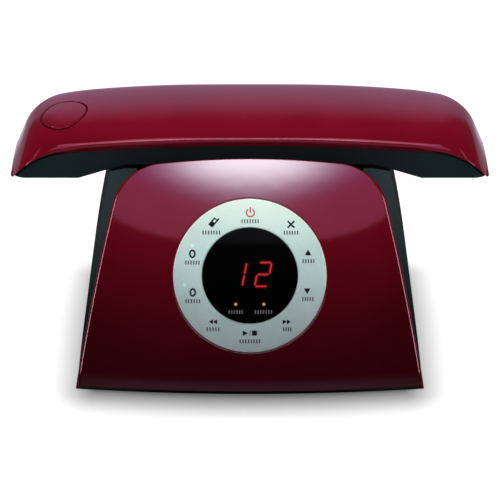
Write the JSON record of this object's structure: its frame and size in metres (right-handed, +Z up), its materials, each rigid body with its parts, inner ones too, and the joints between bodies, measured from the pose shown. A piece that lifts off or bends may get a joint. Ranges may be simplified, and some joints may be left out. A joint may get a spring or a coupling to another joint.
{
  "type": "cordless telephone",
  "caption": "Cordless telephone: an arched handset lies across a wedge base whose bowed front carries a round touch ring and a dark display window.",
  "frame": {"origin": "on the floor under the middle of the base", "axes": "+X along the handset to the right as seen from the front, +Y from the sloping front to the back, +Z up"},
  "size_m": [0.2332, 0.126, 0.1212],
  "materials": {
    "red_gloss": "gloss",
    "black_satin": "satin",
    "silver_ring": "satin",
    "smoked_lens": "gloss",
    "clear_lens": "gloss",
    "digit_block": "matte",
    "red_lamp": "gloss",
    "rubber": "matte",
    "steel": "satin",
    "shield_metal": "satin",
    "can_metal": "satin",
    "board_green": "satin",
    "contact_gold": "gloss",
    "cone_paper": "matte",
    "cable_grey": "matte",
    "battery_wrap": "satin",
    "screen_grey": "matte",
    "key_grey": "satin",
    "key_green": "satin",
    "key_red": "satin"
  },
  "bodies": {
    "base": {"base_body_shell": "black_satin", "bottom_cover": "black_satin", "rubber_feet": "rubber", "bottom_cover_screws": "steel", "front_fascia": "red_gloss", "fascia_screws": "steel", "control_ring": "silver_ring", "display_window": "smoked_lens", "touch_board": "board_green", "touch_header": "black_satin", "display_board": "board_green", "digit_display": "digit_block", "indicator_lamps": "red_lamp", "display_board_screws": "steel", "main_board": "board_green", "main_board_screws": "steel", "radio_shield": "shield_metal", "board_capacitors": "can_metal", "line_jack": "black_satin", "power_jack": "black_satin", "base_speaker": "steel", "speaker_cone": "cone_paper", "ribbon_cable": "cable_grey", "contact_block": "black_satin"},
    "handset": {"handset_top_shell": "red_gloss", "button_board": "board_green", "button_switch": "steel", "handset_lower_shell": "black_satin", "handset_screws": "steel", "battery_pack": "battery_wrap", "ear_speaker": "steel", "microphone": "can_metal", "screen_window": "clear_lens", "screen_module": "screen_grey", "keypad_mat": "rubber", "handset_board": "board_green", "charge_pads": "contact_gold"},
    "end_button": {"end_button": "red_gloss"},
    "battery_door": {"battery_door": "black_satin"},
    "rocker_key": {"rocker_key": "key_grey"},
    "charge_contact_front": {"charge_contact_front": "contact_gold"},
    "charge_contact_rear": {"charge_contact_rear": "contact_gold"},
    "soft_key_left": {"soft_key_left": "key_grey"},
    "soft_key_right": {"soft_key_right": "key_grey"},
    "talk_key": {"talk_key": "key_green"},
    "off_key": {"off_key": "key_red"},
    "key_1": {"key_1": "key_grey"},
    "key_2": {"key_2": "key_grey"},
    "key_3": {"key_3": "key_grey"},
    "key_4": {"key_4": "key_grey"},
    "key_5": {"key_5": "key_grey"},
    "key_6": {"key_6": "key_grey"},
    "key_7": {"key_7": "key_grey"},
    "key_8": {"key_8": "key_grey"},
    "key_9": {"key_9": "key_grey"},
    "key_star": {"key_star": "key_grey"},
    "key_0": {"key_0": "key_grey"},
    "key_hash": {"key_hash": "key_grey"}
  },
  "joints": [
    {"name": "handset_lift", "type": "slide", "parent": "base", "child": "handset", "axis": [0, 0, 1], "range_m": [0, 0.12]},
    {"name": "end_button_press", "type": "slide", "parent": "handset", "child": "end_button", "axis": [0.2504, 0, -0.9681], "range_m": [0, 0.0006], "stiffness_N_per_m": 400, "springref_m": -0.001},
    {"name": "rocker_tip", "type": "hinge", "parent": "handset", "child": "rocker_key", "pos_m": [-0.01401, 0.01883, 0.10014], "axis": [0, 1, 0], "range_deg": [-4, 4], "stiffness_Nm_per_rad": 0.08},
    {"name": "battery_door_pull", "type": "slide", "parent": "handset", "child": "battery_door", "axis": [0, 0, -1], "range_m": [0, 0.012]},
    {"name": "soft_key_left_press", "type": "slide", "parent": "handset", "child": "soft_key_left", "axis": [0, 0, 1], "range_m": [0, 0.0008], "stiffness_N_per_m": 400, "springref_m": -0.0005},
    {"name": "soft_key_right_press", "type": "slide", "parent": "handset", "child": "soft_key_right", "axis": [0, 0, 1], "range_m": [0, 0.0008], "stiffness_N_per_m": 400, "springref_m": -0.0005},
    {"name": "talk_key_press", "type": "slide", "parent": "handset", "child": "talk_key", "axis": [0, 0, 1], "range_m": [0, 0.0008], "stiffness_N_per_m": 400, "springref_m": -0.0005},
    {"name": "off_key_press", "type": "slide", "parent": "handset", "child": "off_key", "axis": [0, 0, 1], "range_m": [0, 0.0008], "stiffness_N_per_m": 400, "springref_m": -0.0005},
    {"name": "key_1_press", "type": "slide", "parent": "handset", "child": "key_1", "axis": [0, 0, 1], "range_m": [0, 0.0008], "stiffness_N_per_m": 400, "springref_m": -0.0005},
    {"name": "key_2_press", "type": "slide", "parent": "handset", "child": "key_2", "axis": [0, 0, 1], "range_m": [0, 0.0008], "stiffness_N_per_m": 400, "springref_m": -0.0005},
    {"name": "key_3_press", "type": "slide", "parent": "handset", "child": "key_3", "axis": [0, 0, 1], "range_m": [0, 0.0008], "stiffness_N_per_m": 400, "springref_m": -0.0005},
    {"name": "key_4_press", "type": "slide", "parent": "handset", "child": "key_4", "axis": [0, 0, 1], "range_m": [0, 0.0008], "stiffness_N_per_m": 400, "springref_m": -0.0005},
    {"name": "key_5_press", "type": "slide", "parent": "handset", "child": "key_5", "axis": [0, 0, 1], "range_m": [0, 0.0008], "stiffness_N_per_m": 400, "springref_m": -0.0005},
    {"name": "key_6_press", "type": "slide", "parent": "handset", "child": "key_6", "axis": [0, 0, 1], "range_m": [0, 0.0008], "stiffness_N_per_m": 400, "springref_m": -0.0005},
    {"name": "key_7_press", "type": "slide", "parent": "handset", "child": "key_7", "axis": [0, 0, 1], "range_m": [0, 0.0008], "stiffness_N_per_m": 400, "springref_m": -0.0005},
    {"name": "key_8_press", "type": "slide", "parent": "handset", "child": "key_8", "axis": [0, 0, 1], "range_m": [0, 0.0008], "stiffness_N_per_m": 400, "springref_m": -0.0005},
    {"name": "key_9_press", "type": "slide", "parent": "handset", "child": "key_9", "axis": [0, 0, 1], "range_m": [0, 0.0008], "stiffness_N_per_m": 400, "springref_m": -0.0005},
    {"name": "key_star_press", "type": "slide", "parent": "handset", "child": "key_star", "axis": [0, 0, 1], "range_m": [0, 0.0008], "stiffness_N_per_m": 400, "springref_m": -0.0005},
    {"name": "key_0_press", "type": "slide", "parent": "handset", "child": "key_0", "axis": [0, 0, 1], "range_m": [0, 0.0008], "stiffness_N_per_m": 400, "springref_m": -0.0005},
    {"name": "key_hash_press", "type": "slide", "parent": "handset", "child": "key_hash", "axis": [0, 0, 1], "range_m": [0, 0.0008], "stiffness_N_per_m": 400, "springref_m": -0.0005},
    {"name": "charge_contact_front_press", "type": "slide", "parent": "base", "child": "charge_contact_front", "axis": [0, 0, -1], "range_m": [0, 0.0012], "stiffness_N_per_m": 600, "springref_m": -0.0005},
    {"name": "charge_contact_rear_press", "type": "slide", "parent": "base", "child": "charge_contact_rear", "axis": [0, 0, -1], "range_m": [0, 0.0012], "stiffness_N_per_m": 600, "springref_m": -0.0005}
  ]
}
